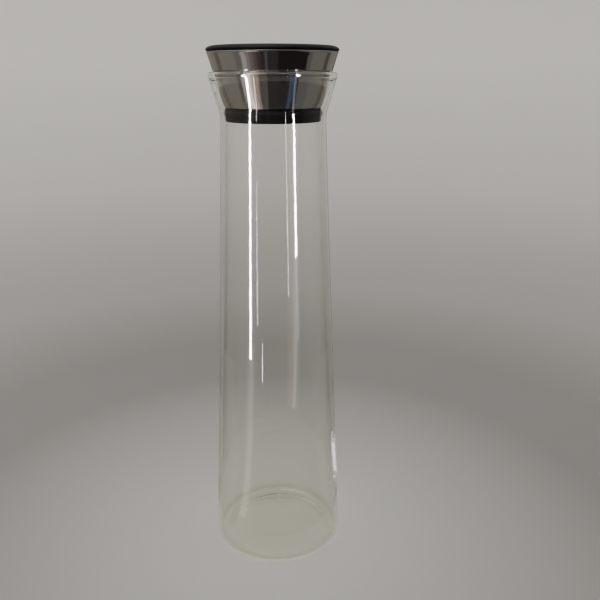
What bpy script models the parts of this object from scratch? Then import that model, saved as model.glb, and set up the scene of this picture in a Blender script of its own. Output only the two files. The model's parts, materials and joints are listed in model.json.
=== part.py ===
"""A one-litre glass water bottle (carafe) with a lift-out pouring stopper.

The bottle is one blown glass piece: a tall tapered body, a short neck and a flared mouth.
The stopper is a polished steel collar clamped between a black plastic core and a black
rubber neck seal. A round steel flap in its top tips open under its own counterweight.

Every number below is in millimetres. Meshes are built in metres, +Z up, with the origin
at the middle of the base and the pouring side towards -Y.
"""

import math

import bmesh
import bpy
from mathutils import Matrix, Vector

MM = 0.001
GAP = 0.3  # clearance between pieces that touch
SEGMENTS = 48  # facets round the bottle and the stopper
FINE = 24  # facets round the small pins and screws

# Glass bottle
RIM_Z = 295.4
BASE_R = 41.6
NECK_R = 29.6
NECK_START_Z = 268.0
BODY_DRAW = 0.4  # how far the wall bows in half way up
WALL = 2.0
FLOOR_Z = 2.7
FLOOR_CROWN = 1.3
FOOT_CORNER_R = 6.0
FLOOR_CORNER_R = 4.0
FOOT_RING_IN_R = 33.6
KICK_R = 30.5
KICK_Z = 0.7
KICK_CROWN_Z = 1.8
FLARE_DEG = 16.2
FLARE_START_Z = 273.5
FLARE_FILLET_R = 25.0
BEAD_HALF_W = 1.3
BEAD_HALF_H = 1.7
BEAD_R = 34.15

# Steel collar
COLLAR_TOP_R = 35.9
COLLAR_TOP_Z = 306.0
COLLAR_BOTTOM_R = 26.9
COLLAR_BOTTOM_Z = 276.8
COLLAR_SHEET = 0.8
COLLAR_HOLE_R = 20.6
COLLAR_BEND_R = 1.2

# Domed pouring ring
RING_EDGE_R = 36.3
RING_CROWN_R = 31.6
RING_CROWN_Z = 308.9
RING_HOLE_R = 26.4
RING_MOUTH_Z = 306.8
SKIRT_IN_R = 32.2
SKIRT_OUT_R = 33.5
SKIRT_Z = 302.6

# Core that carries the water passage and the flap's hinge
CORE_BORE_R = 26.2
CORE_WALL = 1.6
CORE_FLANGE_R = 31.8
CORE_FLANGE_T = 1.6
TUBE_BORE_R = 18.7
TUBE_R = 20.3
TUBE_TOP_Z = 281.0
FUNNEL_TOP_Z = 297.0
SHOULDER_R = 24.5
SHOULDER_T = 2.0
LEDGE_R = 22.9
LEDGE_TOP_Z = 302.3
LEDGE_T = 1.4
RELIEF = 0.3  # how deep the rear relief goes into the core's wall

# Neck seal and the ring that clamps it
SEAL_R = 26.8
SEAL_LIP_R = NECK_R - WALL - GAP
SEAL_BOTTOM_Z = 269.5
SEAL_CORNER_R = 1.4
LIP_Z = 274.0
LIP_HALF_T = 0.9
RECESS_R = 24.1
CLAMP_T = 1.5
CLAMP_NOTCHES = 4

# Flap: plate, gasket, carrier, pin, counterweight and its screw
PIVOT_Y = 5.0
PIVOT_Z = 301.2
PIN_R = 1.0
PIN_HALF_LENGTH = 27.0
PLATE_R = 24.5
PLATE_T = 0.8
PLATE_TOP_Z = 305.4
CARRIER_R = 22.4
CARRIER_T = 1.9
BARREL_R = 2.5
BARREL_HALF_LENGTH = 21.0
ARM_R = 3.2
ARM_BOTTOM_Z = 291.8
GASKET_R = 24.3
WEIGHT_R = 7.5
WEIGHT_H = 9.0
SCREW_R = 1.4
SCREW_HEAD_R = 2.8
SCREW_HEAD_H = 1.6
SCREW_TOP_Z = 297.0


def clear_scene():
    for obj in list(bpy.data.objects):
        bpy.data.objects.remove(obj, do_unlink=True)


def make_material(name, colour, roughness, metallic=0.0, transmission=0.0, ior=1.5):
    material = bpy.data.materials.new(name)
    material.use_nodes = True
    shader = material.node_tree.nodes["Principled BSDF"]
    shader.inputs["Base Color"].default_value = (*colour, 1.0)
    shader.inputs["Roughness"].default_value = roughness
    shader.inputs["Metallic"].default_value = metallic
    shader.inputs["Transmission Weight"].default_value = transmission
    shader.inputs["IOR"].default_value = ior
    material.diffuse_color = (*colour, 1.0 - 0.7 * transmission)
    return material


def arc(centre, radii, start_deg, end_deg, steps):
    """Points along an ellipse's arc in the (radius, height) plane, both ends included."""
    points = []
    for i in range(steps + 1):
        angle = math.radians(start_deg + (end_deg - start_deg) * i / steps)
        across = centre[0] + radii[0] * math.cos(angle)
        up = centre[1] + radii[1] * math.sin(angle)
        points.append((across, up))
    return points


def link_mesh(name, bm, material):
    """Turns a finished bmesh in metres into a smooth-shaded object."""
    bmesh.ops.recalc_face_normals(bm, faces=bm.faces)
    mesh = bpy.data.meshes.new(name)
    bm.to_mesh(mesh)
    bm.free()
    mesh.shade_smooth()
    mesh.set_sharp_from_angle(angle=math.radians(32))
    obj = bpy.data.objects.new(name, mesh)
    obj.data.materials.append(material)
    bpy.context.collection.objects.link(obj)
    return obj


def turned(name, outline, material, axis_at=(0.0, 0.0), segments=SEGMENTS):
    """A solid of revolution about a vertical axis.

    An outline with both ends on the axis is left open there; any other is closed.
    """
    bm = bmesh.new()
    points = [bm.verts.new((r * MM, 0.0, z * MM)) for r, z in outline]
    pairs = list(zip(points, points[1:]))
    if outline[0][0] > 0.0:
        pairs.append((points[-1], points[0]))
    edges = [bm.edges.new(pair) for pair in pairs]
    bmesh.ops.spin(
        bm,
        geom=points + edges,
        cent=(0.0, 0.0, 0.0),
        axis=(0.0, 0.0, 1.0),
        angle=2.0 * math.pi,
        steps=segments,
        use_merge=True,
    )
    bmesh.ops.remove_doubles(bm, verts=bm.verts, dist=0.00001)
    shift = Matrix.Translation((axis_at[0] * MM, axis_at[1] * MM, 0.0))
    bmesh.ops.transform(bm, matrix=shift, verts=bm.verts)
    return link_mesh(name, bm, material)


def rod_along_x(name, radius, half_length, y, z, material, bevel=0.0):
    bm = bmesh.new()
    turn = Matrix.Rotation(math.radians(90), 4, "Y")
    place = Matrix.Translation((0.0, y * MM, z * MM))
    bmesh.ops.create_cone(
        bm,
        cap_ends=True,
        segments=FINE,
        radius1=radius * MM,
        radius2=radius * MM,
        depth=2.0 * half_length * MM,
        matrix=place @ turn,
    )
    if bevel:
        rims = [e for e in bm.edges if any(len(f.verts) > 4 for f in e.link_faces)]
        bmesh.ops.bevel(bm, geom=rims, offset=bevel * MM, segments=1, affect="EDGES")
    return link_mesh(name, bm, material)


def block(name, low, high, material, turn_deg=0.0):
    """An axis-aligned box, optionally turned about the Z axis."""
    bm = bmesh.new()
    size = [(b - a) * MM for a, b in zip(low, high)]
    middle = [0.5 * (a + b) * MM for a, b in zip(low, high)]
    turn = Matrix.Rotation(math.radians(turn_deg), 4, "Z")
    place = turn @ Matrix.Translation(middle) @ Matrix.Diagonal((*size, 1.0))
    bmesh.ops.create_cube(bm, size=1.0, matrix=place)
    return link_mesh(name, bm, material)


def combine(target, helper, operation):
    """Adds a Boolean and keeps its helper out of renders."""
    modifier = target.modifiers.new(helper.name, "BOOLEAN")
    modifier.operation = operation
    modifier.object = helper
    modifier.solver = "EXACT"
    helper.hide_render = True
    helper.display_type = "WIRE"


def ride_on(empty, pieces):
    """Parents pieces to an empty without moving them."""
    bpy.context.view_layer.update()
    for piece in pieces:
        piece.parent = empty
        piece.matrix_parent_inverse = empty.matrix_world.inverted()


def body_radius(z):
    """Outer radius of the tapered body: nearly straight, bowed in a little half way up."""
    t = z / NECK_START_Z
    return BASE_R + (NECK_R - BASE_R) * t - BODY_DRAW * 4.0 * t * (1.0 - t)


def body_stretch(low_z, high_z, inset, steps):
    heights = [low_z + (high_z - low_z) * i / steps for i in range(steps + 1)]
    return [(body_radius(z) - inset, z) for z in heights]


def flare_fillet(inset, steps=3):
    """The bend from the neck into the flared mouth, outside (inset 0) or inside."""
    tangent = FLARE_FILLET_R * math.tan(math.radians(FLARE_DEG / 2.0))
    centre = (NECK_R + FLARE_FILLET_R, FLARE_START_Z - tangent)
    radius = FLARE_FILLET_R + inset
    return arc(centre, (radius, radius), 180.0, 180.0 - FLARE_DEG, steps)


def glass_body(material):
    foot_centre = (body_radius(FOOT_CORNER_R) - FOOT_CORNER_R, FOOT_CORNER_R)
    corner_z = FLOOR_Z + FLOOR_CORNER_R
    floor_centre = (body_radius(corner_z) - WALL - FLOOR_CORNER_R, corner_z)
    bead_centre = (BEAD_R, RIM_Z - BEAD_HALF_H)
    foot_radii = (FOOT_CORNER_R, FOOT_CORNER_R)
    floor_radii = (FLOOR_CORNER_R, FLOOR_CORNER_R)
    outline = [(0.0, KICK_CROWN_Z), (KICK_R, KICK_Z), (FOOT_RING_IN_R, 0.0)]
    outline += arc(foot_centre, foot_radii, -90.0, 0.0, 4)
    outline += body_stretch(FOOT_CORNER_R, NECK_START_Z, 0.0, 6)[1:]
    outline += flare_fillet(0.0)
    outline += arc(bead_centre, (BEAD_HALF_W, BEAD_HALF_H), -30.0, 210.0, 8)
    outline += reversed(flare_fillet(WALL))
    outline += reversed(body_stretch(corner_z, NECK_START_Z, WALL, 6)[1:])
    outline += reversed(arc(floor_centre, floor_radii, -90.0, 0.0, 4))
    outline.append((0.0, FLOOR_Z + FLOOR_CROWN))
    return turned("glass_body", outline, material)


def steel_collar(material):
    """Tapered sheet-steel collar with an inward flange at its foot."""
    slope = math.atan2(COLLAR_TOP_R - COLLAR_BOTTOM_R, COLLAR_TOP_Z - COLLAR_BOTTOM_Z)
    across = COLLAR_SHEET * math.cos(slope)
    up = COLLAR_SHEET * math.sin(slope)
    bend = (COLLAR_BOTTOM_R - COLLAR_BEND_R, COLLAR_BOTTOM_Z + COLLAR_BEND_R)
    radii = (COLLAR_BEND_R, COLLAR_BEND_R)
    flange_top = COLLAR_BOTTOM_Z + COLLAR_SHEET
    foot_r = COLLAR_BOTTOM_R - COLLAR_SHEET
    outline = [(COLLAR_HOLE_R, COLLAR_BOTTOM_Z)]
    outline += arc(bend, radii, -90.0, 0.0, 3)
    outline += [
        (COLLAR_TOP_R, COLLAR_TOP_Z - 0.3),
        (COLLAR_TOP_R - 0.2, COLLAR_TOP_Z),
        (COLLAR_TOP_R - across + 0.2, COLLAR_TOP_Z),
        (COLLAR_TOP_R - across, COLLAR_TOP_Z - 0.3),
        (foot_r + up, flange_top + 2.0 * up),
        (foot_r - up, flange_top),
        (COLLAR_HOLE_R, flange_top),
    ]
    return turned("steel_collar", outline, material)


def pour_ring(material):
    """Domed ring round the mouth, with a skirt that drops inside the collar."""
    seat_z = COLLAR_TOP_Z + GAP
    crown_h = RING_CROWN_Z - seat_z - 0.3
    outer_dome = (RING_EDGE_R - RING_CROWN_R, crown_h)
    inner_dome = (RING_CROWN_R - RING_HOLE_R, RING_CROWN_Z - RING_MOUTH_Z)
    underside_z = LEDGE_TOP_Z + CORE_FLANGE_T + 2.0 * GAP + 1.0 - GAP
    outline = [(SKIRT_OUT_R + 1.1, seat_z), (RING_EDGE_R - 0.3, seat_z)]
    outline += arc((RING_CROWN_R, seat_z + 0.3), outer_dome, 0.0, 90.0, 5)
    outline += arc((RING_CROWN_R, RING_MOUTH_Z), inner_dome, 90.0, 180.0, 4)[1:]
    outline += [
        (RING_HOLE_R, underside_z),
        (SKIRT_IN_R, underside_z),
        (SKIRT_IN_R, SKIRT_Z),
        (SKIRT_OUT_R, SKIRT_Z),
    ]
    return turned("pour_ring", outline, material)


def pouring_core(material):
    """Funnel and neck tube in one moulding, with a front ledge and two pin holes."""
    flange_top = LEDGE_TOP_Z + CORE_FLANGE_T + 1.0
    flange_under = flange_top - CORE_FLANGE_T
    shoulder_z = COLLAR_BOTTOM_Z + COLLAR_SHEET + GAP
    ledge_under = LEDGE_TOP_Z - LEDGE_T
    outline = [
        (TUBE_BORE_R, SEAL_BOTTOM_Z + 0.4),
        (TUBE_R, SEAL_BOTTOM_Z + 0.4),
        (TUBE_R, shoulder_z),
        (SHOULDER_R, shoulder_z),
        (SHOULDER_R, shoulder_z + SHOULDER_T),
        (TUBE_R + 0.9, TUBE_TOP_Z),
        (CORE_BORE_R + CORE_WALL, FUNNEL_TOP_Z),
        (CORE_BORE_R + CORE_WALL, flange_under),
        (CORE_FLANGE_R, flange_under),
        (CORE_FLANGE_R, flange_top),
        (CORE_BORE_R, flange_top),
        (CORE_BORE_R, LEDGE_TOP_Z),
        (LEDGE_R, LEDGE_TOP_Z),
        (LEDGE_R, ledge_under),
        (CORE_BORE_R, ledge_under - 2.2),
        (CORE_BORE_R - 0.6, FUNNEL_TOP_Z),
        (TUBE_BORE_R, TUBE_TOP_Z),
    ]
    core = turned("pouring_core", outline, material)
    cut_r = CORE_BORE_R + RELIEF
    low, high = FUNNEL_TOP_Z + 1.0, LEDGE_TOP_Z + 0.5
    relief = turned(
        "relief_cutter",
        [(0.0, low), (cut_r, low), (cut_r, high), (0.0, high)],
        material,
    )
    front_half = block("relief_front", (-40, -40, low - 5), (40, 0, high + 5), material)
    combine(relief, front_half, "DIFFERENCE")
    holes = rod_along_x(
        "pin_hole_cutter", PIN_R + GAP, 40.0, PIVOT_Y, PIVOT_Z, material
    )
    combine(core, relief, "DIFFERENCE")
    combine(core, holes, "DIFFERENCE")
    return core


def neck_seal(material):
    """Rubber sleeve with one lip, recessed underneath for its clamp ring."""
    top_z = COLLAR_BOTTOM_Z - GAP
    corner = (SEAL_R - SEAL_CORNER_R, SEAL_BOTTOM_Z + SEAL_CORNER_R)
    radii = (SEAL_CORNER_R, SEAL_CORNER_R)
    tip_half = 0.3 * LIP_HALF_T
    recess_top = SEAL_BOTTOM_Z + 0.4 + CLAMP_T + GAP
    outline = [(RECESS_R, SEAL_BOTTOM_Z)]
    outline += arc(corner, radii, -90.0, 0.0, 3)
    outline += [
        (SEAL_R, LIP_Z - LIP_HALF_T),
        (SEAL_LIP_R, LIP_Z - tip_half),
        (SEAL_LIP_R, LIP_Z + tip_half),
        (SEAL_R, LIP_Z + LIP_HALF_T),
        (SEAL_R, top_z - 0.3),
        (SEAL_R - 0.3, top_z),
        (TUBE_R + GAP, top_z),
        (TUBE_R + GAP, recess_top),
        (RECESS_R, recess_top),
    ]
    return turned("neck_seal", outline, material)


def seal_clamp_ring(material):
    """Threaded ring under the seal, with notches for a spanner."""
    low = SEAL_BOTTOM_Z + 0.4
    high = low + CLAMP_T
    outer, inner = RECESS_R - GAP, TUBE_R + GAP
    outline = [
        (inner, low),
        (outer - 0.3, low),
        (outer, low + 0.3),
        (outer, high),
        (inner, high),
    ]
    ring = turned("seal_clamp_ring", outline, material)
    for i in range(CLAMP_NOTCHES):
        notch = block(
            f"notch_cutter_{i + 1}",
            (inner - 2.0, -1.2, low - 1.0),
            (inner + 1.2, 1.2, high + 1.0),
            material,
            turn_deg=360.0 * (i + 0.5) / CLAMP_NOTCHES,
        )
        combine(ring, notch, "DIFFERENCE")
    return ring


def flap_plate(material):
    low = PLATE_TOP_Z - PLATE_T
    outline = [
        (0.0, low),
        (PLATE_R - 0.15, low),
        (PLATE_R, low + 0.15),
        (PLATE_R, PLATE_TOP_Z - 0.2),
        (PLATE_R - 0.2, PLATE_TOP_Z),
        (0.0, PLATE_TOP_Z),
    ]
    return turned("flap_plate", outline, material)


def flap_carrier(material):
    """Disc under the plate, with the hinge barrel and the counterweight's arm."""
    high = PLATE_TOP_Z - PLATE_T - GAP
    low = high - CARRIER_T
    disc = [(0.0, low), (CARRIER_R, low), (CARRIER_R, high), (0.0, high)]
    carrier = turned("flap_carrier", disc, material)
    barrel = rod_along_x(
        "barrel_former", BARREL_R, BARREL_HALF_LENGTH, PIVOT_Y, PIVOT_Z, material
    )
    arm_top = PIVOT_Z - 1.6
    arm_outline = [(0.0, ARM_BOTTOM_Z), (ARM_R, ARM_BOTTOM_Z), (ARM_R, arm_top), (0.0, arm_top)]
    arm = turned("arm_former", arm_outline, material, (0.0, PIVOT_Y), FINE)
    pin_bore = rod_along_x(
        "pin_bore_cutter", PIN_R + GAP, 30.0, PIVOT_Y, PIVOT_Z, material
    )
    hole_r = SCREW_R + GAP
    hole_low, hole_high = ARM_BOTTOM_Z - 2.0, SCREW_TOP_Z + GAP
    hole_outline = [(0.0, hole_low), (hole_r, hole_low), (hole_r, hole_high), (0.0, hole_high)]
    screw_hole = turned("screw_hole_cutter", hole_outline, material, (0.0, PIVOT_Y), FINE)
    combine(carrier, barrel, "UNION")
    combine(carrier, arm, "UNION")
    combine(carrier, pin_bore, "DIFFERENCE")
    combine(carrier, screw_hole, "DIFFERENCE")
    return carrier


def flap_gasket(material):
    high = PLATE_TOP_Z - PLATE_T - GAP
    low = LEDGE_TOP_Z + GAP
    inner = CARRIER_R + GAP
    outline = [
        (inner, low),
        (GASKET_R - 0.4, low),
        (GASKET_R, low + 0.4),
        (GASKET_R, high),
        (inner, high),
    ]
    return turned("flap_gasket", outline, material)


def counterweight(material):
    high = ARM_BOTTOM_Z - GAP
    low = high - WEIGHT_H
    bore = SCREW_R + GAP
    chamfer = 0.6
    outline = [
        (bore, low),
        (WEIGHT_R - chamfer, low),
        (WEIGHT_R, low + chamfer),
        (WEIGHT_R, high - chamfer),
        (WEIGHT_R - chamfer, high),
        (bore, high),
    ]
    return turned("counterweight", outline, material, (0.0, PIVOT_Y), FINE)


def counterweight_screw(material):
    """Socket-head screw that holds the weight to the carrier's arm from below."""
    head_top = ARM_BOTTOM_Z - WEIGHT_H - 2.0 * GAP
    head_low = head_top - SCREW_HEAD_H
    socket_r, socket_depth = 1.3, 1.0
    outline = [
        (0.0, head_low + socket_depth),
        (socket_r, head_low + socket_depth),
        (socket_r, head_low),
        (SCREW_HEAD_R - 0.3, head_low),
        (SCREW_HEAD_R, head_low + 0.3),
        (SCREW_HEAD_R, head_top),
        (SCREW_R, head_top),
        (SCREW_R, SCREW_TOP_Z),
        (0.0, SCREW_TOP_Z),
    ]
    return turned("counterweight_screw", outline, material, (0.0, PIVOT_Y), FINE)


def main():
    clear_scene()
    glass = make_material("clear_glass", (0.93, 0.96, 0.90), 0.02, transmission=1.0, ior=1.47)
    polished = make_material("polished_steel", (0.62, 0.61, 0.59), 0.12, metallic=1.0)
    plain_steel = make_material("plain_steel", (0.5, 0.5, 0.5), 0.35, metallic=1.0)
    black_plastic = make_material("black_plastic", (0.012, 0.012, 0.013), 0.42)
    black_rubber = make_material("black_rubber", (0.015, 0.015, 0.016), 0.7)

    glass_body(glass)
    stopper = [
        steel_collar(polished),
        pour_ring(black_plastic),
        pouring_core(black_plastic),
        neck_seal(black_rubber),
        seal_clamp_ring(black_plastic),
        rod_along_x("hinge_pin", PIN_R, PIN_HALF_LENGTH, PIVOT_Y, PIVOT_Z, plain_steel, 0.2),
    ]
    flap = [
        flap_plate(polished),
        flap_carrier(black_plastic),
        flap_gasket(black_rubber),
        counterweight(plain_steel),
        counterweight_screw(plain_steel),
    ]

    lift_axis = bpy.data.objects.new("stopper_axis", None)
    flap_axis = bpy.data.objects.new("flap_axis", None)
    flap_axis.location = Vector((0.0, PIVOT_Y, PIVOT_Z)) * MM
    for empty in (lift_axis, flap_axis):
        empty.empty_display_size = 0.02
        bpy.context.collection.objects.link(empty)
    ride_on(lift_axis, stopper + [flap_axis])
    ride_on(flap_axis, flap)


main()
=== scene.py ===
"""Looks of the glass water bottle with its pouring stopper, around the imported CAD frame.

Outlines are in millimetres, in the frame's own axes: +Z up, -Y towards the pouring side.
Materials read Object coordinates, which are metres in the same axes.
"""

import json
import math

import bmesh
import bpy
import numpy as np
from mathutils import Matrix, Vector


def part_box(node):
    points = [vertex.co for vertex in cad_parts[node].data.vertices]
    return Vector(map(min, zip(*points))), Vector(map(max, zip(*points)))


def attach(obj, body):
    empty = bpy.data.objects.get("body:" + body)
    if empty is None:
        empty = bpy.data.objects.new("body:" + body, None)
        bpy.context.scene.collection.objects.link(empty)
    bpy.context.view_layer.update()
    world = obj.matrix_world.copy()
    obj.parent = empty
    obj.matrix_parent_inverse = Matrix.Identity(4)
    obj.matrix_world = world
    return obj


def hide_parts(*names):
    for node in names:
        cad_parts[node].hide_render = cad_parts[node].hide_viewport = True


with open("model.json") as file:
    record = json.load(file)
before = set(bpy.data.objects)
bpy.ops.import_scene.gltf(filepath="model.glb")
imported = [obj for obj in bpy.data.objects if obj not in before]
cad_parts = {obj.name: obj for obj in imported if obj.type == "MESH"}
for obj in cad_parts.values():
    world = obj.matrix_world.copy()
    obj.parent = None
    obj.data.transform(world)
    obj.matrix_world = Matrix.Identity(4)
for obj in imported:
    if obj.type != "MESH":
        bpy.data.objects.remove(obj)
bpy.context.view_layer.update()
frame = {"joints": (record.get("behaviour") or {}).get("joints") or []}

MM = 0.001
ROUND = 192  # facets round the large pieces
SMALL = 64  # facets round the pins, the weight and the screw

# ---------------------------------------------------------------- sizes from the frame


def top_of(node):
    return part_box(node)[1].z / MM


def foot_of(node):
    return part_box(node)[0].z / MM


def radius_of(node):
    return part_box(node)[1].x / MM


RIM_Z = top_of("glass_body")
COLLAR_TOP_Z, COLLAR_FOOT_Z = top_of("steel_collar"), foot_of("steel_collar")
COLLAR_R = radius_of("steel_collar")
RING_TOP_Z, RING_R = top_of("pour_ring"), radius_of("pour_ring")
SEAL_TOP_Z, SEAL_FOOT_Z = top_of("neck_seal"), foot_of("neck_seal")
CORE_TOP_Z, CORE_FLANGE_R = top_of("pouring_core"), radius_of("pouring_core")
CLAMP_TOP_Z, CLAMP_FOOT_Z = top_of("seal_clamp_ring"), foot_of("seal_clamp_ring")
CLAMP_R = radius_of("seal_clamp_ring")
PLATE_TOP_Z, PLATE_FOOT_Z = top_of("flap_plate"), foot_of("flap_plate")
PLATE_R = radius_of("flap_plate")
GASKET_R = radius_of("flap_gasket")
GASKET_TOP_Z, GASKET_FOOT_Z = top_of("flap_gasket"), foot_of("flap_gasket")
CARRIER_R, CARRIER_TOP_Z = radius_of("flap_carrier"), top_of("flap_carrier")
ARM_FOOT_Z = foot_of("flap_carrier")
PIN_HALF_LENGTH = radius_of("hinge_pin")
PIN_R = 0.5 * (top_of("hinge_pin") - foot_of("hinge_pin"))
PIVOT_Z = top_of("hinge_pin") - PIN_R
PIVOT_Y = 1000.0 * next(j for j in frame["joints"] if j["name"] == "flap_tilt")["pos_m"][1]
WEIGHT_R = radius_of("counterweight")
WEIGHT_TOP_Z, WEIGHT_FOOT_Z = top_of("counterweight"), foot_of("counterweight")
SCREW_HEAD_R = radius_of("counterweight_screw")
SCREW_TOP_Z, SCREW_FOOT_Z = top_of("counterweight_screw"), foot_of("counterweight_screw")

# ---------------------------------------------------------------- glass proportions
# The same proportions as in the CAD part, in millimetres and degrees.
BASE_R = 41.6
NECK_R = 29.6
NECK_START_Z = 268.0
BODY_DRAW = 0.4
WALL = 2.0
FLOOR_Z = 2.7
FLOOR_CROWN = 1.3
FOOT_CORNER_R = 6.0
FLOOR_CORNER_R = 4.0
FOOT_RING_IN_R = 33.6
KICK_R = 30.5
KICK_Z = 0.7
KICK_CROWN_Z = 1.8
FLARE_DEG = 16.2
FLARE_START_Z = 273.5
FLARE_FILLET_R = 25.0
BEAD_R = 34.15
BEAD_HALF_W = 1.3
BEAD_HALF_H = 1.7

# ---------------------------------------------------------------- outlines


def arc(centre, radii, start_deg, end_deg, steps):
    """Points along an ellipse's arc in the (radius, height) plane, both ends included."""
    points = []
    for i in range(steps + 1):
        a = math.radians(start_deg + (end_deg - start_deg) * i / steps)
        points.append((centre[0] + radii[0] * math.cos(a), centre[1] + radii[1] * math.sin(a)))
    return points


def soften(corners, closed=True, steps=4):
    """Rounds an outline's corners. A corner is (radius, height) or (radius, height, rounding)."""
    rounded = []
    count = len(corners)
    for i, corner in enumerate(corners):
        here = np.array(corner[:2])
        size = corner[2] if len(corner) > 2 else 0.0
        at_end = not closed and i in (0, count - 1)
        if size == 0.0 or at_end:
            rounded.append(tuple(here))
            continue
        before = np.array(corners[i - 1][:2]) - here
        after = np.array(corners[(i + 1) % count][:2]) - here
        start = here + before * min(size / np.linalg.norm(before), 0.49)
        end = here + after * min(size / np.linalg.norm(after), 0.49)
        for k in range(steps + 1):
            t = k / steps
            point = (1 - t) ** 2 * start + 2 * t * (1 - t) * here + t * t * end
            rounded.append(tuple(point))
    return rounded


def body_radius(z):
    """Outer radius of the tapered body, drawn in slightly between the base and the neck."""
    t = z / NECK_START_Z
    return BASE_R + (NECK_R - BASE_R) * t - BODY_DRAW * 4.0 * t * (1.0 - t)


def body_stretch(low_z, high_z, inset, steps):
    """The body's wall between two heights, moved in by inset."""
    heights = np.linspace(low_z, high_z, steps + 1)
    return [(body_radius(z) - inset, float(z)) for z in heights]


def flare_fillet(inset, steps=16):
    """The curve from the neck into the flare, moved in by inset."""
    tangent = FLARE_FILLET_R * math.tan(math.radians(FLARE_DEG / 2.0))
    radius = FLARE_FILLET_R + inset
    centre = (NECK_R + FLARE_FILLET_R, FLARE_START_Z - tangent)
    return arc(centre, (radius, radius), 180.0, 180.0 - FLARE_DEG, steps)


# ---------------------------------------------------------------- meshes


def finish_mesh(name, bm, material, sharp_deg=40.0):
    bmesh.ops.recalc_face_normals(bm, faces=bm.faces)
    mesh = bpy.data.meshes.new(name)
    bm.to_mesh(mesh)
    bm.free()
    mesh.shade_smooth()
    mesh.set_sharp_from_angle(angle=math.radians(sharp_deg))
    obj = bpy.data.objects.new(name, mesh)
    mesh.materials.append(material)
    bpy.context.scene.collection.objects.link(obj)
    return obj


def lathe(name, outline, material, axis_y=0.0, facets=ROUND, wobble=None, sharp_deg=40.0):
    """Turns an outline about a vertical axis. wobble(angle, height, index) moves the radius."""
    bm = bmesh.new()
    rings = []
    for k, (radius, height) in enumerate(outline):
        if radius <= 1e-9:
            rings.append([bm.verts.new((0.0, axis_y * MM, height * MM))])
            continue
        ring = []
        for i in range(facets):
            angle = 2.0 * math.pi * i / facets
            r = radius + (wobble(angle, height, k) if wobble else 0.0)
            x, y = r * math.cos(angle), r * math.sin(angle) + axis_y
            ring.append(bm.verts.new((x * MM, y * MM, height * MM)))
        rings.append(ring)
    on_axis = len(rings[0]) == 1
    last = len(rings) - 1 if on_axis else len(rings)
    for k in range(last):
        low, high = rings[k], rings[(k + 1) % len(rings)]
        for i in range(facets):
            j = (i + 1) % facets
            if len(low) == 1:
                bm.faces.new((low[0], high[i], high[j]))
            elif len(high) == 1:
                bm.faces.new((low[i], low[j], high[0]))
            else:
                bm.faces.new((low[i], low[j], high[j], high[i]))
    return finish_mesh(name, bm, material, sharp_deg)


def rod(name, radius, half_length, material, facets=SMALL, end_round=0.0):
    """A rod along X on the flap's pivot axis, with eased ends."""
    corners = [(0.0, -half_length), (radius, -half_length, end_round)]
    corners += [(radius, half_length, end_round), (0.0, half_length)]
    obj = lathe(name, soften(corners, closed=False), material, facets=facets)
    turn = Matrix.Rotation(math.radians(90.0), 4, "Y")
    place = Matrix.Translation((0.0, PIVOT_Y * MM, PIVOT_Z * MM))
    obj.data.transform(place @ turn)
    return obj


def slab(name, low, high, material, turn_deg=0.0):
    """A block between two corners, turned about the vertical axis."""
    bm = bmesh.new()
    size = [(b - a) * MM for a, b in zip(low, high)]
    middle = [0.5 * (a + b) * MM for a, b in zip(low, high)]
    turn = Matrix.Rotation(math.radians(turn_deg), 4, "Z")
    place = turn @ Matrix.Translation(middle) @ Matrix.Diagonal((*size, 1.0))
    bmesh.ops.create_cube(bm, size=1.0, matrix=place)
    return finish_mesh(name, bm, material)


def carve(target, tools, operation="DIFFERENCE"):
    """Applies a Boolean with each tool in turn and removes the tools."""
    for tool in tools:
        modifier = target.modifiers.new("carve", "BOOLEAN")
        modifier.operation = operation
        modifier.object = tool
        modifier.solver = "EXACT"
        bpy.context.view_layer.update()
        graph = bpy.context.evaluated_depsgraph_get()
        mesh = bpy.data.meshes.new_from_object(target.evaluated_get(graph))
        target.modifiers.clear()
        old = target.data
        target.data = mesh
        bpy.data.meshes.remove(old)
        bpy.data.objects.remove(tool)
    target.data.shade_smooth()
    target.data.set_sharp_from_angle(angle=math.radians(30.0))
    return target


def settle(obj, body, node):
    """Makes a piece move with its body and stand for its CAD node."""
    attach(obj, body)
    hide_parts(node)
    return obj


# ---------------------------------------------------------------- materials


# Ray classes, counted in glass surfaces crossed or in reflections so far. The halves keep each
# limit clear of the whole numbers that it parts.
MOST_TURNS = 2.5  # reflections after which the glass lets light out
BARE_RAYS = 0.5  # below: the ray has not crossed any glass surface
UNDER_RAYS = 3.5  # above: the ray has been through the wall and seen the steel behind it
STRIP_RAYS = 1.5  # below: the strips light the glass; above: they would haze what is behind it


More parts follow.
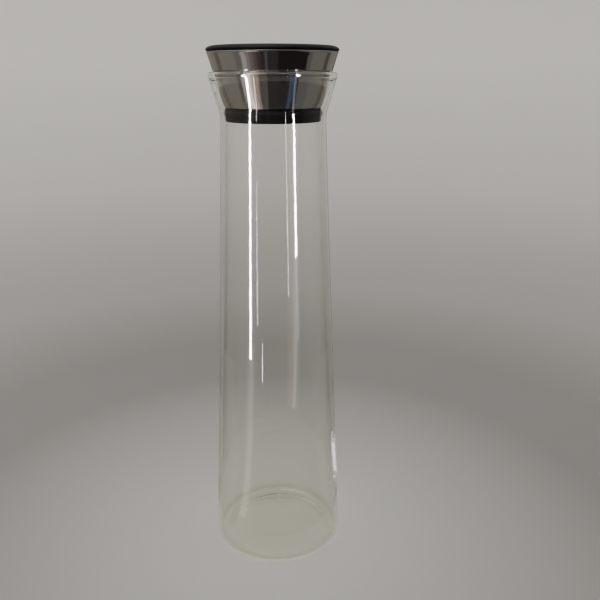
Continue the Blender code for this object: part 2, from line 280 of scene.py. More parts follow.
class Nodes:
    """A material's node tree, with one short call per node."""

    def __init__(self, name):
        self.material = bpy.data.materials.new(name)
        self.material.use_nodes = True
        self.tree = self.material.node_tree
        self.shader = self.tree.nodes["Principled BSDF"]
        self.output = self.tree.nodes["Material Output"]
        self.place = self.tree.nodes.new("ShaderNodeTexCoord").outputs["Object"]

    def set(self, **values):
        for socket, value in values.items():
            self.shader.inputs[socket.replace("_", " ")].default_value = value

    def add(self, kind, settings=(), **inputs):
        node = self.tree.nodes.new(kind)
        for key, value in dict(settings).items():
            setattr(node, key, value)
        for socket, value in inputs.items():
            self.feed(node.inputs[socket.replace("_", " ")], value)
        return node

    def feed(self, socket, value):
        if isinstance(value, bpy.types.NodeSocket):
            self.tree.links.new(value, socket)
        else:
            socket.default_value = value

    def into(self, socket, value):
        self.tree.links.new(value, self.shader.inputs[socket])

    def stretch(self, scale):
        node = self.add("ShaderNodeMapping", Vector=self.place)
        node.inputs["Scale"].default_value = scale
        return node.outputs["Vector"]

    def noise(self, scale, detail=3.0, roughness=0.55, vector=None):
        node = self.add("ShaderNodeTexNoise", Vector=vector or self.place)
        node.inputs["Scale"].default_value = scale
        node.inputs["Detail"].default_value = detail
        node.inputs["Roughness"].default_value = roughness
        return node.outputs["Fac"]

    def ramp(self, value, low, high, from_low=0.3, from_high=0.7):
        """Maps values between from_low and from_high to numbers from low to high."""
        node = self.add("ShaderNodeMapRange", Value=value)
        node.inputs["From Min"].default_value = from_low
        node.inputs["From Max"].default_value = from_high
        node.inputs["To Min"].default_value = low
        node.inputs["To Max"].default_value = high
        return node.outputs["Result"]

    def colours(self, value, dark, light, low=0.3, high=0.7):
        node = self.add("ShaderNodeValToRGB", Fac=value)
        ends = node.color_ramp.elements
        ends[0].position, ends[1].position = low, high
        ends[0].color, ends[1].color = (*dark, 1.0), (*light, 1.0)
        return node.outputs["Color"]

    def blend(self, amount, first, second):
        """Mixes two colours: amount 0 gives the first and amount 1 the second."""
        node = self.add("ShaderNodeMix", {"data_type": "RGBA"})
        self.feed(node.inputs["Factor"], amount)
        colours = [socket for socket in node.inputs if socket.type == "RGBA"]
        self.feed(colours[0], first)
        self.feed(colours[1], second)
        return next(socket for socket in node.outputs if socket.type == "RGBA")

    def math(self, operation, a, b=0.0):
        node = self.tree.nodes.new("ShaderNodeMath")
        node.operation = operation
        self.feed(node.inputs[0], a)
        self.feed(node.inputs[1], b)
        return node.outputs["Value"]

    def bump(self, height, strength, distance, below=None):
        node = self.add("ShaderNodeBump", Height=height)
        node.inputs["Strength"].default_value = strength
        node.inputs["Distance"].default_value = distance
        if below is not None:
            self.tree.links.new(below, node.inputs["Normal"])
        return node.outputs["Normal"]

    def round_distance(self):
        """Distance from the bottle's vertical axis, in metres."""
        parts = self.add("ShaderNodeSeparateXYZ", Vector=self.place).outputs
        squares = [self.math("POWER", parts[axis], 2.0) for axis in "XY"]
        return self.math("SQRT", self.math("ADD", *squares))


def clear_glass():
    """Clear glass, faintly yellow-green; more so in the base as painted reflected light, and a
    darker line at the foot that is painted shade.

    The wall has faint upright streaks and smudges, and small ripples low on its right side.
    """
    n = Nodes("clear_glass")
    n.set(IOR=1.474, Transmission_Weight=1.0)
    parts = n.add("ShaderNodeSeparateXYZ", Vector=n.place).outputs
    height = parts["Z"]
    clouds = n.ramp(n.noise(24.0, 3.0, 0.5), -0.15, 0.15)
    # Painted reflected light: below 85 mm the tint is painted more yellow-green, on top of the
    # glass's own faint tint and its random clouds.
    painted_low_light_and_clouds = n.math("ADD", n.ramp(height, 0.0, 1.0, 0.008, 0.085), clouds)
    tint_and_painted_low_light = n.colours(painted_low_light_and_clouds, (0.955, 0.97, 0.885), (0.994, 0.996, 0.99), 0.0, 1.0)
    # Painted shade: a darker olive line is painted round the outer edge of the foot, where it
    # meets the floor.
    outside = n.ramp(n.round_distance(), 0.0, 1.0, 0.0378, 0.0402)
    painted_foot_shade = n.math("MULTIPLY", outside, n.ramp(height, 1.0, 0.0, 0.002, 0.0065))
    n.into("Base Color", n.blend(painted_foot_shade, tint_and_painted_low_light, (0.72, 0.74, 0.52, 1.0)))
    streaks = n.noise(90.0, 2.0, 0.5, n.stretch((1.0, 1.0, 0.05)))
    smudges = n.noise(38.0, 4.0, 0.6)
    n.into("Roughness", n.ramp(smudges, 0.0, 0.012, 0.45, 0.8))
    chill_side = n.ramp(parts["X"], 0.0, 1.0, 0.031, 0.038)
    off_middle = n.math("ABSOLUTE", n.math("SUBTRACT", height, 0.06))
    chill = n.math("MULTIPLY", chill_side, n.ramp(off_middle, 0.55, 0.0, 0.015, 0.035))
    ripples = n.bump(n.noise(330.0, 3.0, 0.6), 0.0, 0.0014, n.bump(streaks, 0.12, 0.0004))
    n.feed(ripples.node.inputs["Strength"], chill)
    n.into("Normal", ripples)
    # A render trick: light that has turned often inside the wall is let out, because the
    # renderer's bounce limit would otherwise leave black arcs at the flare and the foot.
    turns = n.add("ShaderNodeLightPath").outputs["Glossy Depth"]
    n.into("Alpha", n.math("LESS_THAN", turns, MOST_TURNS))
    absorb = n.add("ShaderNodeVolumeAbsorption")
    absorb.inputs["Color"].default_value = (0.86, 0.93, 0.30, 1.0)
    absorb.inputs["Density"].default_value = 5.0
    n.tree.links.new(absorb.outputs["Volume"], n.output.inputs["Volume"])
    return n.material


def polished_steel():
    """Mirror-polished sheet with the fine round lines that the polishing wheel leaves."""
    n = Nodes("polished_steel")
    n.set(Metallic=1.0)
    patches = n.noise(26.0, 4.0, 0.6)
    n.into("Base Color", n.colours(patches, (0.49, 0.48, 0.465), (0.56, 0.55, 0.53)))
    lines = n.noise(60.0, 3.0, 0.6, n.stretch((1.0, 1.0, 60.0)))
    rough = n.math("ADD", n.ramp(patches, 0.035, 0.07), n.ramp(lines, 0.0, 0.025))
    n.into("Roughness", rough)
    n.into("Normal", n.bump(lines, 0.05, 0.0002))
    return n.material


def brushed_steel():
    """Round-brushed plate: lines run round the stopper's axis."""
    n = Nodes("brushed_steel")
    n.set(Metallic=1.0, Anisotropic=0.55)
    patches = n.noise(40.0, 4.0, 0.6)
    distance = n.round_distance()
    lines = n.add("ShaderNodeTexNoise", {"noise_dimensions": "1D"}, W=distance)
    lines.inputs["Scale"].default_value = 5200.0
    lines.inputs["Detail"].default_value = 4.0
    fine = lines.outputs["Fac"]
    mixed = n.math("ADD", n.math("MULTIPLY", fine, 0.6), n.math("MULTIPLY", patches, 0.4))
    n.into("Base Color", n.colours(mixed, (0.50, 0.50, 0.495), (0.66, 0.655, 0.645)))
    n.into("Roughness", n.ramp(mixed, 0.2, 0.36))
    n.into("Normal", n.bump(fine, 0.15, 0.00003))
    return n.material


def turned_steel():
    """Lathe-turned bar: fine grooves along the height, slightly darker."""
    n = Nodes("turned_steel")
    n.set(Metallic=1.0)
    grooves = n.add("ShaderNodeTexWave", {"bands_direction": "Z"}, Vector=n.place)
    grooves.inputs["Scale"].default_value = 900.0
    grooves.inputs["Distortion"].default_value = 0.6
    patches = n.noise(70.0, 4.0, 0.6)
    n.into("Base Color", n.colours(patches, (0.42, 0.42, 0.42), (0.55, 0.55, 0.54)))
    n.into("Roughness", n.ramp(patches, 0.24, 0.38))
    n.into("Normal", n.bump(grooves.outputs["Fac"], 0.12, 0.00003))
    return n.material


def black_plastic():
    """Satin moulded plastic with a very fine spark-eroded grain."""
    n = Nodes("black_plastic")
    grain = n.noise(2600.0, 3.0, 0.6)
    wear = n.noise(55.0, 4.0, 0.6)
    n.set(Specular_IOR_Level=0.15)
    n.into("Base Color", n.colours(wear, (0.003, 0.003, 0.0033), (0.007, 0.0068, 0.007)))
    n.into("Roughness", n.ramp(wear, 0.42, 0.54))
    n.into("Normal", n.bump(grain, 0.18, 0.00004))
    return n.material


def black_rubber():
    """Matt silicone with a little bloom and dust."""
    n = Nodes("black_rubber")
    grain = n.noise(1500.0, 3.0, 0.6)
    bloom = n.noise(45.0, 5.0, 0.62)
    n.into("Base Color", n.colours(bloom, (0.006, 0.006, 0.0065), (0.011, 0.0105, 0.0105)))
    n.into("Roughness", n.ramp(bloom, 0.58, 0.72))
    n.into("Normal", n.bump(grain, 0.2, 0.00005))
    n.set(Specular_IOR_Level=0.25)
    return n.material


def stage_paint_with_painted_light():
    """Matt paint with painted light: a painted pool of light, palest under the bottle, and
    painted light high on the wall, darker between.
    """
    n = Nodes("pale_floor")
    height = n.add("ShaderNodeSeparateXYZ", Vector=n.place).outputs["Z"]
    distance = n.round_distance()
    tone_and_painted_light = n.ramp(n.noise(2.2, 4.0, 0.55), 0.26, 0.28)
    # Painted light: a pool of light round the bottle, lighter from the cove outward, and the wall
    # lighter towards its top; only the noise is the paint's own random tone.
    for pattern, low, high, start, end in (
        (distance, 0.24, 0.0, 0.07, 0.24),
        (distance, 0.0, 0.12, 0.33, 0.52),
        (height, 0.0, 0.25, 0.0, 0.10),
        (height, 0.0, 0.22, 0.10, 0.32),
    ):
        tone_and_painted_light = n.math("ADD", tone_and_painted_light, n.ramp(pattern, low, high, start, end))
    n.into("Base Color", n.colours(tone_and_painted_light, (0.0, 0.0, 0.0), (1.0, 0.965, 0.91), 0.0, 1.0))
    n.set(Roughness=0.85)
    n.into("Normal", n.bump(n.noise(320.0, 5.0, 0.6), 0.35, 0.0003))
    return n.material


def mirror_only(name, colour, seen_by):
    """A glow that only reflected rays see; every other ray passes straight through.

    seen_by names the rays it shows to, by how many glass surfaces they have crossed: bare (none),
    wall (one to three: turned back inside the wall) and under (four or more: reached the steel
    through the wall and came back).
    """
    n = Nodes(name)
    n.tree.nodes.remove(n.shader)
    path = n.add("ShaderNodeLightPath").outputs
    bare = n.math("LESS_THAN", path["Transmission Depth"], BARE_RAYS)
    under = n.math("GREATER_THAN", path["Transmission Depth"], UNDER_RAYS)
    wall = n.math("SUBTRACT", n.math("SUBTRACT", 1.0, bare), under)
    rays = {"bare": bare, "wall": wall, "under": under}
    chosen = 0.0
    for word in seen_by.split():
        chosen = n.math("ADD", rays[word], chosen)
    seen = n.math("MULTIPLY", chosen, n.math("GREATER_THAN", path["Glossy Depth"], 0.5))
    glow = n.add("ShaderNodeEmission", Color=(*colour, 1.0))
    clear = n.add("ShaderNodeBsdfTransparent")
    mix = n.tree.nodes.new("ShaderNodeMixShader")
    n.tree.links.new(seen, mix.inputs[0])
    n.tree.links.new(clear.outputs["BSDF"], mix.inputs[1])
    n.tree.links.new(glow.outputs["Emission"], mix.inputs[2])
    n.tree.links.new(mix.outputs["Shader"], n.output.inputs["Surface"])
    n.material.cycles.emission_sampling = "NONE"
    return n.material


GLASS = clear_glass()
POLISHED = polished_steel()
BRUSHED = brushed_steel()
TURNED = turned_steel()
PLASTIC = black_plastic()
RUBBER = black_rubber()

# ---------------------------------------------------------------- glass bottle


def glass_outline():
    """From under the foot up the outer wall, over the rim and down the inside to the floor."""
    foot = (body_radius(FOOT_CORNER_R) - FOOT_CORNER_R, FOOT_CORNER_R)
    corner_z = FLOOR_Z + FLOOR_CORNER_R
    floor = (body_radius(corner_z) - WALL - FLOOR_CORNER_R, corner_z)
    bead = (BEAD_R, RIM_Z - BEAD_HALF_H)
    rise = KICK_CROWN_Z - KICK_Z
    under = [(r, KICK_CROWN_Z - rise * (r / KICK_R) ** 2) for r in (0.0, 8.0, 16.0, 23.0)]
    under += [(KICK_R, KICK_Z, 1.5), (FOOT_RING_IN_R, 0.0, 1.0)]
    outline = soften(under + [(foot[0], 0.0)], closed=False)[:-1]
    outline += arc(foot, (FOOT_CORNER_R, FOOT_CORNER_R), -90.0, 0.0, 12)
    outline += body_stretch(FOOT_CORNER_R, NECK_START_Z, 0.0, 66)[1:]
    outline += flare_fillet(0.0)
    outline += arc(bead, (BEAD_HALF_W, BEAD_HALF_H), -30.0, 210.0, 28)
    outline += reversed(flare_fillet(WALL))
    outline += reversed(body_stretch(corner_z, NECK_START_Z, WALL, 66)[1:])
    outline += reversed(arc(floor, (FLOOR_CORNER_R, FLOOR_CORNER_R), -90.0, 0.0, 16))
    for r in (30.0, 24.0, 18.0, 12.0, 6.0, 0.0):
        outline.append((r, FLOOR_Z + FLOOR_CROWN * (1.0 - (r / floor[0]) ** 2)))
    return outline


def drawn_glass(angle, height, index):
    """The slight unevenness of a drawn and blown wall: long waves, fading at foot and rim."""
    fade = min(1.0, max(0.0, (height - 12.0) / 30.0), max(0.0, (262.0 - height) / 12.0))
    inner = index > GLASS_TOP_INDEX
    size = 0.05 if inner else 0.03
    lag = 1.7 if inner else 0.0
    wave = 0.0
    for order, climb, phase in WAVES:
        wave += math.sin(order * angle + climb * height + phase + lag * order)
    return fade * size * wave / len(WAVES)


WAVES = ((2, 0.011, 0.4), (3, -0.017, 2.1), (5, 0.023, 4.0), (8, -0.012, 1.3), (11, 0.019, 5.2))
outline = glass_outline()
GLASS_TOP_INDEX = max(range(len(outline)), key=lambda k: outline[k][1])
glass = lathe("bottle_glass", outline, GLASS, facets=256, wobble=drawn_glass, sharp_deg=60.0)
settle(glass, "bottle", "glass_body")
glass.visible_shadow = False
glass.visible_diffuse = False

# ---------------------------------------------------------------- stopper


def make_collar():
    """Cone of sheet steel with a small rolled edge on top and a bent flange below."""
    sheet = 0.8
    bend_r = 1.2
    hole_r = 20.6
    foot_r = 26.9
    roll = 0.42
    slope = (COLLAR_R - foot_r) / (COLLAR_TOP_Z - COLLAR_FOOT_Z)
    neck_z = COLLAR_TOP_Z - 2.0 * roll - 0.25
    neck_r = COLLAR_R - slope * (COLLAR_TOP_Z - neck_z) - 0.1
    outline = [(hole_r, COLLAR_FOOT_Z)]
    bend = (foot_r - bend_r, COLLAR_FOOT_Z + bend_r)
    outline += arc(bend, (bend_r, bend_r), -90.0, -8.0, 8)
    outline += [
        (foot_r + slope * (z - COLLAR_FOOT_Z) - 0.02, z)
        for z in np.linspace(COLLAR_FOOT_Z + 2.4, neck_z - 0.3, 14)
    ]
    outline += [(neck_r, neck_z)]
    outline += arc((COLLAR_R - roll, COLLAR_TOP_Z - roll), (roll, roll), -50.0, 180.0, 14)
    outline += [
        (COLLAR_R - slope * 2.0 - sheet, COLLAR_TOP_Z - 2.0),
        (foot_r + slope * 2.5 - sheet, COLLAR_FOOT_Z + 2.5),
        (foot_r - 0.9, COLLAR_FOOT_Z + sheet + 0.15),
        (foot_r - 1.6, COLLAR_FOOT_Z + sheet),
        (hole_r, COLLAR_FOOT_Z + sheet),
    ]
    return lathe("collar_steel", outline, POLISHED, sharp_deg=50.0)


def make_ring():
    """Domed ring: thin outer edge, soft crown, mouth that dips towards the flap."""
    hole_r, crown_r, mouth_z = 26.4, 31.6, 306.8
    seat_z = COLLAR_TOP_Z + 0.3
    underside_z = CORE_TOP_Z + 0.3
    skirt_in, skirt_out, skirt_z = 32.2, 33.5, foot_of("pour_ring")
    edge_round = 0.35
    edge_z = seat_z + edge_round
    outline = arc((RING_R - edge_round, edge_z), (edge_round, edge_round), -90.0, 0.0, 5)
    dome = arc((crown_r, edge_z), (RING_R - crown_r, RING_TOP_Z - edge_z), 0.0, 90.0, 26)
    outline += dome[1:]
    mouth = (crown_r - hole_r, RING_TOP_Z - mouth_z)
    outline += arc((crown_r, mouth_z), mouth, 90.0, 180.0, 20)[1:]
    outline += soften(
        [
            (hole_r, mouth_z - 0.5),
            (hole_r, underside_z, 0.25),
            (skirt_in, underside_z, 0.2),
            (skirt_in, skirt_z, 0.25),
            (skirt_out, skirt_z, 0.3),
            (skirt_out + 1.0, seat_z, 0.2),
            (RING_R - 0.4, seat_z),
        ],
        closed=False,
    )[:-1]
    return lathe("ring_plastic", outline, PLASTIC)


def make_seal():
    """Rubber sleeve: eased edges, a recess for the clamp, and a lip that all but meets the glass.

    The lip stays clear of the glass: by 0.14 mm at its lower edge and 0.35 mm at its upper one.
    """
    body_r, bore_r, recess_r = 26.8, 20.6, 24.1
    lip_r = NECK_R - WALL + 0.1
    lip_z = 274.0
    recess_z = CLAMP_TOP_Z + 0.3
    corners = [
        (recess_r, SEAL_FOOT_Z, 0.35),
        (body_r, SEAL_FOOT_Z, 1.5),
        (body_r, lip_z - 1.6, 0.35),
        (lip_r, lip_z - 0.8, 0.3),
        (lip_r, lip_z + 0.8, 0.3),
        (body_r, lip_z + 1.6, 0.35),
        (body_r, SEAL_TOP_Z, 0.35),
        (bore_r, SEAL_TOP_Z, 0.15),
        (bore_r, recess_z, 0.15),
        (recess_r, recess_z, 0.2),
    ]
    return lathe("seal_rubber", soften(corners, steps=5), RUBBER)


def make_core():
    """Funnel and neck tube, with the front ledge and the two holes for the pin."""
    bore_r, wall, tube_r, tube_bore_r = 26.2, 1.6, 20.3, 18.7
    flange_under = CORE_TOP_Z - 1.6
    shoulder_z = COLLAR_FOOT_Z + 1.1
    ledge_z, ledge_r = 302.3, 22.9
    tube_top_z, funnel_top_z = 281.0, 297.0
    foot_z = foot_of("pouring_core")
    corners = [
        (tube_bore_r, foot_z, 0.3),
        (tube_r, foot_z, 0.3),
        (tube_r, shoulder_z, 0.1),
        (24.5, shoulder_z, 0.3),
        (24.5, shoulder_z + 2.0, 0.4),
        (tube_r + 0.9, tube_top_z, 1.0),
        (bore_r + wall, funnel_top_z, 1.5),
        (bore_r + wall, flange_under, 0.4),
        (CORE_FLANGE_R, flange_under, 0.3),
        (CORE_FLANGE_R, CORE_TOP_Z, 0.3),
        (bore_r, CORE_TOP_Z, 0.3),
        (bore_r, ledge_z, 0.2),
        (ledge_r, ledge_z, 0.35),
        (ledge_r, ledge_z - 1.4, 0.4),
        (bore_r, ledge_z - 3.6, 0.6),
        (bore_r - 0.6, funnel_top_z, 1.0),
        (tube_bore_r, tube_top_z, 2.0),
    ]
    core = lathe("core_plastic", soften(corners, steps=4), PLASTIC, facets=128)
    low, high, cut_r = funnel_top_z + 1.0, ledge_z + 0.5, bore_r + 0.3
    relief_outline = [(0.0, low), (cut_r, low), (cut_r, high), (0.0, high)]
    relief = lathe("relief_tool", relief_outline, PLASTIC, facets=128)
    carve(relief, [slab("front_tool", (-40, -40, low - 5), (40, 0, high + 5), PLASTIC)])
    holes = rod("holes_tool", PIN_R + 0.3, 40.0, PLASTIC, facets=48)
    return carve(core, [relief, holes])


def make_clamp():
    """Plain clamp ring with four spanner notches in its bore."""
    inner, outer = 20.6, CLAMP_R
    corners = [
        (inner, CLAMP_FOOT_Z, 0.2),
        (outer, CLAMP_FOOT_Z, 0.45),
        (outer, CLAMP_TOP_Z, 0.25),
        (inner, CLAMP_TOP_Z, 0.2),
    ]
    ring = lathe("clamp_plastic", soften(corners), PLASTIC, facets=128)
    notches = []
    for i in range(4):
        low = (inner - 2.0, -1.2, CLAMP_FOOT_Z - 1.0)
        high = (inner + 1.2, 1.2, CLAMP_TOP_Z + 1.0)
        notches.append(slab(f"notch_tool_{i}", low, high, PLASTIC, 90.0 * (i + 0.5)))
    return carve(ring, notches)


settle(make_collar(), "stopper", "steel_collar")
settle(make_ring(), "stopper", "pour_ring")
settle(make_core(), "stopper", "pouring_core")
settle(make_clamp(), "stopper", "seal_clamp_ring")
settle(make_seal(), "seal", "neck_seal")
pin = rod("pin_steel", PIN_R, PIN_HALF_LENGTH, TURNED, end_round=0.2)
settle(pin, "stopper", "hinge_pin")

# ---------------------------------------------------------------- flap


def make_plate():
    """Steel disc with an eased edge, its top dished by a hair."""
    dish = 0.18
    outline = [(0.0, PLATE_FOOT_Z)]
    outline += [(PLATE_R - 0.2, PLATE_FOOT_Z)]
    edge_z = 0.5 * (PLATE_TOP_Z + PLATE_FOOT_Z)
    half = 0.5 * (PLATE_TOP_Z - PLATE_FOOT_Z)
    outline += arc((PLATE_R - 0.25, edge_z), (0.25, half), -80.0, 90.0, 8)
    for r in np.linspace(PLATE_R - 1.2, 1.2, 14):
        drop = dish * (1.0 - (r / (PLATE_R - 0.25)) ** 2)
        outline.append((float(r), PLATE_TOP_Z - drop))
    outline.append((0.0, PLATE_TOP_Z - dish))
    return lathe("plate_steel", outline, BRUSHED)


def make_carrier():
    """Moulded disc with ribs, hinge barrel and the hollow arm for the weight's screw."""
    low_z = CARRIER_TOP_Z - 1.9
    corners = [(0.0, low_z), (CARRIER_R, low_z, 0.3), (CARRIER_R, CARRIER_TOP_Z, 0.3)]
    disc_outline = soften(corners + [(0.0, CARRIER_TOP_Z)], closed=False)
    carrier = lathe("carrier_plastic", disc_outline, PLASTIC, facets=128)
    parts = [rod("barrel_tool", 2.5, 21.0, PLASTIC, end_round=0.3)]
    arm_top = PIVOT_Z - 1.6
    arm_corners = [(0.0, ARM_FOOT_Z), (3.2, ARM_FOOT_Z, 0.3), (3.2, arm_top), (0.0, arm_top)]
    arm_outline = soften(arm_corners, closed=False)
    parts.append(lathe("arm_tool", arm_outline, PLASTIC, PIVOT_Y, SMALL))
    for x in (-14.0, -7.0, 7.0, 14.0):
        reach = math.sqrt(20.0**2 - x * x)
        low, high = (x - 0.6, -reach, low_z - 1.4), (x + 0.6, PIVOT_Y, low_z + 0.6)
        parts.append(slab("rib_tool", low, high, PLASTIC))
    carve(carrier, parts, "UNION")
    bore = rod("bore_tool", PIN_R + 0.3, 30.0, PLASTIC, facets=48)
    hole_outline = [
        (0.0, ARM_FOOT_Z - 2.0),
        (1.7, ARM_FOOT_Z - 2.0),
        (1.7, SCREW_TOP_Z + 0.3),
        (0.0, SCREW_TOP_Z + 0.3),
    ]
    hole = lathe("hole_tool", hole_outline, PLASTIC, PIVOT_Y, 48)
    return carve(carrier, [bore, hole])


def make_gasket():
    inner = CARRIER_R + 0.3
    corners = [
        (inner, GASKET_FOOT_Z, 0.3),
        (GASKET_R, GASKET_FOOT_Z, 0.7),
        (GASKET_R, GASKET_TOP_Z, 0.3),
        (inner, GASKET_TOP_Z, 0.2),
    ]
    return lathe("gasket_rubber", soften(corners), RUBBER)


def make_weight():
    bore = 1.7
    corners = [
        (bore, WEIGHT_FOOT_Z, 0.2),
        (WEIGHT_R, WEIGHT_FOOT_Z, 0.9),
        (WEIGHT_R, WEIGHT_TOP_Z, 0.9),
        (bore, WEIGHT_TOP_Z, 0.2),
    ]
    return lathe("weight_steel", soften(corners, steps=5), TURNED, PIVOT_Y, 96)


def make_screw():
    """Socket-head screw: rounded head with a hexagon socket, plain shank."""
    head_top = WEIGHT_FOOT_Z - 0.3
    shank_r = 1.4
    corners = [
        (0.0, SCREW_FOOT_Z),
        (SCREW_HEAD_R, SCREW_FOOT_Z, 0.5),
        (SCREW_HEAD_R, head_top, 0.1),
        (shank_r, head_top, 0.1),
        (shank_r, SCREW_TOP_Z, 0.3),
        (0.0, SCREW_TOP_Z),
    ]
    screw = lathe("screw_steel", soften(corners, closed=False), TURNED, PIVOT_Y, 48)
    socket = [(0.0, SCREW_FOOT_Z - 1.0), (1.3, SCREW_FOOT_Z - 1.0), (1.3, SCREW_FOOT_Z + 1.0)]
    socket.append((0.0, SCREW_FOOT_Z + 1.0))
    return carve(screw, [lathe("hexagon_tool", socket, TURNED, PIVOT_Y, 6)])


settle(make_plate(), "flap", "flap_plate")
settle(make_carrier(), "flap", "flap_carrier")
settle(make_gasket(), "flap", "flap_gasket")
settle(make_weight(), "flap", "counterweight")
settle(make_screw(), "flap", "counterweight_screw")

# ---------------------------------------------------------------- studio


FLAT_R, COVE_R, WALL_TOP = 450.0, 850.0, 1150.0


def studio_height(radius):
    """Height of the floor, then of the cove, at a distance from the bottle's axis."""
    if radius <= FLAT_R:
        return 0.0
    return COVE_R - math.sqrt(COVE_R**2 - (radius - FLAT_R) ** 2)


def make_studio():
    """A round studio: pale floor, a wide cove, and a plain wall all the way round, its paint
    carrying a painted pool of light and painted light high on the wall.
    """
    outline = [(r, 0.0) for r in (60.0, 150.0, 300.0)]
    outline += arc((FLAT_R, COVE_R), (COVE_R, COVE_R), -90.0, 0.0, 32)
    outline.append((FLAT_R + COVE_R, WALL_TOP))
    outline.insert(0, (0.0, 0.0))
    studio = lathe("studio_floor", outline, stage_paint_with_painted_light(), facets=128)
    studio.data.flip_normals()


def at_bearing(bearing_deg, distance, height):
    """A place seen from the bottle: bearing 0 is the camera's side, positive to the right."""
    a = math.radians(bearing_deg)
    return Vector((distance * math.sin(a), -distance * math.cos(a), height)) * MM


def strip_light(name, bearing_deg, distance, low, high, width, power, colour):
    """A tall soft box that faces the bottle. It shines only where few surfaces were crossed."""
    data = bpy.data.lights.new(name, "AREA")
    data.shape = "RECTANGLE"
    data.size, data.size_y = width * MM, (high - low) * MM
    data.energy = power
    data.color = colour
    data.use_nodes = True
    nodes, links = data.node_tree.nodes, data.node_tree.links
    crossed = nodes.new("ShaderNodeLightPath").outputs["Transmission Depth"]
    few = nodes.new("ShaderNodeMath")
    few.operation = "LESS_THAN"
    few.inputs[1].default_value = STRIP_RAYS
    links.new(crossed, few.inputs[0])
    links.new(few.outputs["Value"], nodes["Emission"].inputs["Strength"])
    obj = bpy.data.objects.new(name, data)
    obj.location = at_bearing(bearing_deg, distance, 0.5 * (low + high))
    obj.rotation_euler = (math.radians(90.0), 0.0, math.radians(bearing_deg))
    obj.visible_camera = False
    bpy.context.scene.collection.objects.link(obj)
    return obj


def overhead_light(name, place, aim, width, painted_low_light_and_clouds, power, colour):
    """A wide soft box at a place, turned towards its aim. Both are in millimetres."""
    data = bpy.data.lights.new(name, "AREA")
    data.shape = "RECTANGLE"
    data.size, data.size_y = width * MM, painted_low_light_and_clouds * MM
    data.energy = power
    data.color = colour
    obj = bpy.data.objects.new(name, data)
    obj.location = Vector(place) * MM
    obj.rotation_euler = (Vector(aim) - Vector(place)).to_track_quat("-Z", "Y").to_euler()
    obj.visible_camera = False
    bpy.context.scene.collection.objects.link(obj)


def mirror_panel(name, seen_by, from_deg, to_deg, colour, lift, near=60.0, far=1290.0):
    """Part of the room as the polished steel mirrors it, a few millimetres above the floor."""
    bm = bmesh.new()
    degrees_per_column = 4.0
    columns = max(2, int((to_deg - from_deg) / degrees_per_column))
    rows = 24
    grid = []
    for i in range(columns + 1):
        bearing = from_deg + (to_deg - from_deg) * i / columns
        line = []
        for k in range(rows + 1):
            radius = near + (far - near) * k / rows
            line.append(bm.verts.new(at_bearing(bearing, radius, studio_height(radius) + lift)))
        grid.append(line)
    for left, right in zip(grid, grid[1:]):
        for k in range(rows):
            bm.faces.new((left[k], right[k], right[k + 1], left[k + 1]))
    panel = finish_mesh(name, bm, mirror_only(name, colour, seen_by))
    panel.visible_camera = False
    panel.visible_diffuse = False
    panel.visible_shadow = False


def make_world():
    world = bpy.data.worlds.new("soft_room")
    world.use_nodes = True
    background = world.node_tree.nodes["Background"]
    background.inputs["Color"].default_value = (0.94, 0.965, 1.0, 1.0)
    background.inputs["Strength"].default_value = 0.52
    bpy.context.scene.world = world


# The photo's viewing point, fitted to the bottle's circles, in metres and degrees.
CAMERA_PLACE = (0.0149, -0.3859, 0.2952)
CAMERA_DOWN_DEG = 18.86
LENS_MM, SENSOR_MM = 39.97, 36.0


def make_camera():
    data = bpy.data.cameras.new("photo_view")
    data.sensor_width = SENSOR_MM
    data.lens = LENS_MM
    data.clip_start = 0.01
    camera = bpy.data.objects.new("photo_view", data)
    camera.location = CAMERA_PLACE
    camera.rotation_euler = (math.radians(90.0 - CAMERA_DOWN_DEG), 0.0, 0.0)
    bpy.context.scene.collection.objects.link(camera)
    bpy.context.scene.camera = camera


make_studio()
only_glass = bpy.data.collections.new("lit_by_the_windows")
only_glass.objects.link(glass)
warm_white, cool_white = (1.0, 0.98, 0.96), (0.95, 0.97, 1.0)
for window in (
    strip_light("window_left", -47.0, 340.0, 30.0, 520.0, 25.0, 12.0, warm_white),
    strip_light("window_right", 44.5, 340.0, 140.0, 520.0, 24.0, 9.0, cool_white),
    strip_light("glint_left", -33.0, 340.0, 70.0, 215.0, 6.0, 0.10, cool_white),
    strip_light("glint_left_low", -24.0, 340.0, 2.0, 50.0, 7.0, 0.05, warm_white),
    strip_light("glint_right", 27.0, 340.0, 100.0, 264.0, 7.0, 0.10, warm_white),
    strip_light("glint_side", 122.0, 91.0, 1.0, 36.0, 3.0, 0.01, warm_white),
    strip_light("glow_right", 44.5, 345.0, 50.0, 140.0, 26.0, 0.025, (0.72, 0.78, 1.0)),
):
    window.light_linking.receiver_collection = only_glass
warm_top = (1.0, 0.985, 0.96)
overhead_light("soft_top", (-300, -200, 1500), (0, 0, 100), 1300, 1100, 11.0, warm_top)

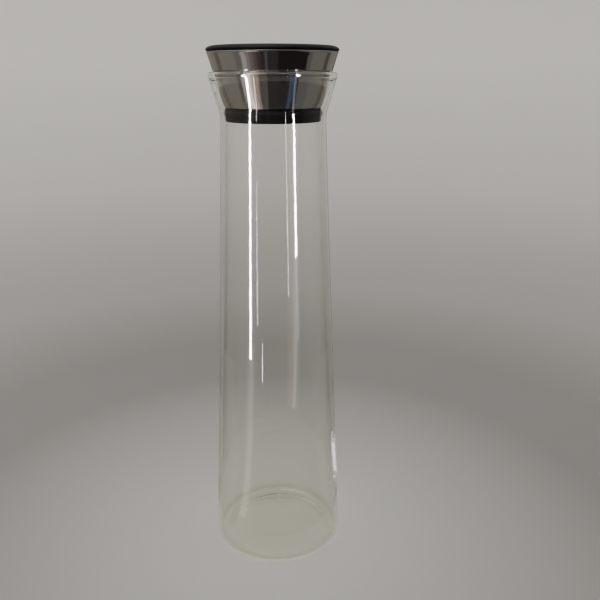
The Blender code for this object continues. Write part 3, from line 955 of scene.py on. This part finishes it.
# The room as the polished steel mirrors it, by bearing in degrees. Where two panels cover the
# same bearings, the later one lies higher and is the one that is mirrored.
LOWEST_LIFT, LIFT_STEP = 2.0, 0.5
for place, (name, seen_by, from_deg, to_deg, colour) in enumerate(
    (
        ("room", "bare under", -180.0, 180.0, (0.26, 0.245, 0.21)),
        ("room_behind", "bare under", 158.0, 202.0, (0.04, 0.035, 0.033)),
        ("left_post", "bare under", -122.0, -108.0, (0.17, 0.15, 0.12)),
        ("right_wall", "bare under", 78.0, 112.0, (0.21, 0.20, 0.18)),
        ("right_post", "bare under", 112.0, 124.0, (0.11, 0.10, 0.09)),
        ("left_wall", "bare wall", -70.0, -57.0, (0.20, 0.185, 0.17)),
        ("left_frame", "bare wall", -57.0, -48.0, (0.50, 0.46, 0.44)),
        ("left_curtain", "bare wall", -48.0, -41.0, (0.31, 0.265, 0.25)),
        ("left_dusk", "bare wall", -41.0, -34.0, (0.21, 0.17, 0.16)),
        ("left_shade", "bare wall", -34.0, -27.0, (0.135, 0.108, 0.10)),
        ("left_corner", "bare wall", -27.0, -20.0, (0.08, 0.066, 0.062)),
        ("front_left", "bare wall", -20.0, 12.0, (0.05, 0.042, 0.042)),
        ("front_right", "bare wall", 12.0, 69.0, (0.022, 0.018, 0.019)),
        ("right_edge", "bare wall", 69.0, 78.0, (0.15, 0.14, 0.13)),
        ("sill_line", "under", -68.0, -60.0, (0.12, 0.11, 0.10)),
        ("sill_edge", "under", -60.0, -51.0, (0.55, 0.52, 0.50)),
        ("sill_white", "under", -51.0, -42.0, (2.3, 2.1, 2.0)),
        ("sill_beige", "under", -42.0, -33.0, (1.05, 0.78, 0.62)),
        ("sill_tan", "under", -33.0, -25.0, (0.55, 0.44, 0.37)),
        ("sill_shade", "under", -25.0, -10.0, (0.15, 0.13, 0.125)),
        ("front_low", "under", -10.0, 52.0, (0.05, 0.044, 0.047)),
        ("blue_line", "under", 34.0, 43.0, (0.09, 0.12, 0.20)),
        ("right_low", "under", 52.0, 78.0, (0.18, 0.175, 0.165)),
        ("thin_line", "bare wall under", -12.0, -8.0, (0.13, 0.115, 0.11)),
    )
):
    lift = LOWEST_LIFT + LIFT_STEP * place
    mirror_panel(f"mirror_{name}", seen_by, from_deg, to_deg, colour, lift)
# The side panels start far out, because nearer ones would leave dark dashes low on the glass.
mirror_panel("mirror_side_left", "wall", -125.0, -70.0, (0.09, 0.085, 0.075), 16.0, near=330.0)
mirror_panel("mirror_side_right", "wall", 78.0, 125.0, (0.06, 0.055, 0.05), 16.5, near=330.0)
mirror_panel("mirror_ledge_glow", "bare wall", -52.0, -42.0, (1.5, 1.15, 1.05), 15.5, far=440.0)
make_world()
make_camera()

# ---------------------------------------------------------------- the end
bpy.context.view_layer.update()
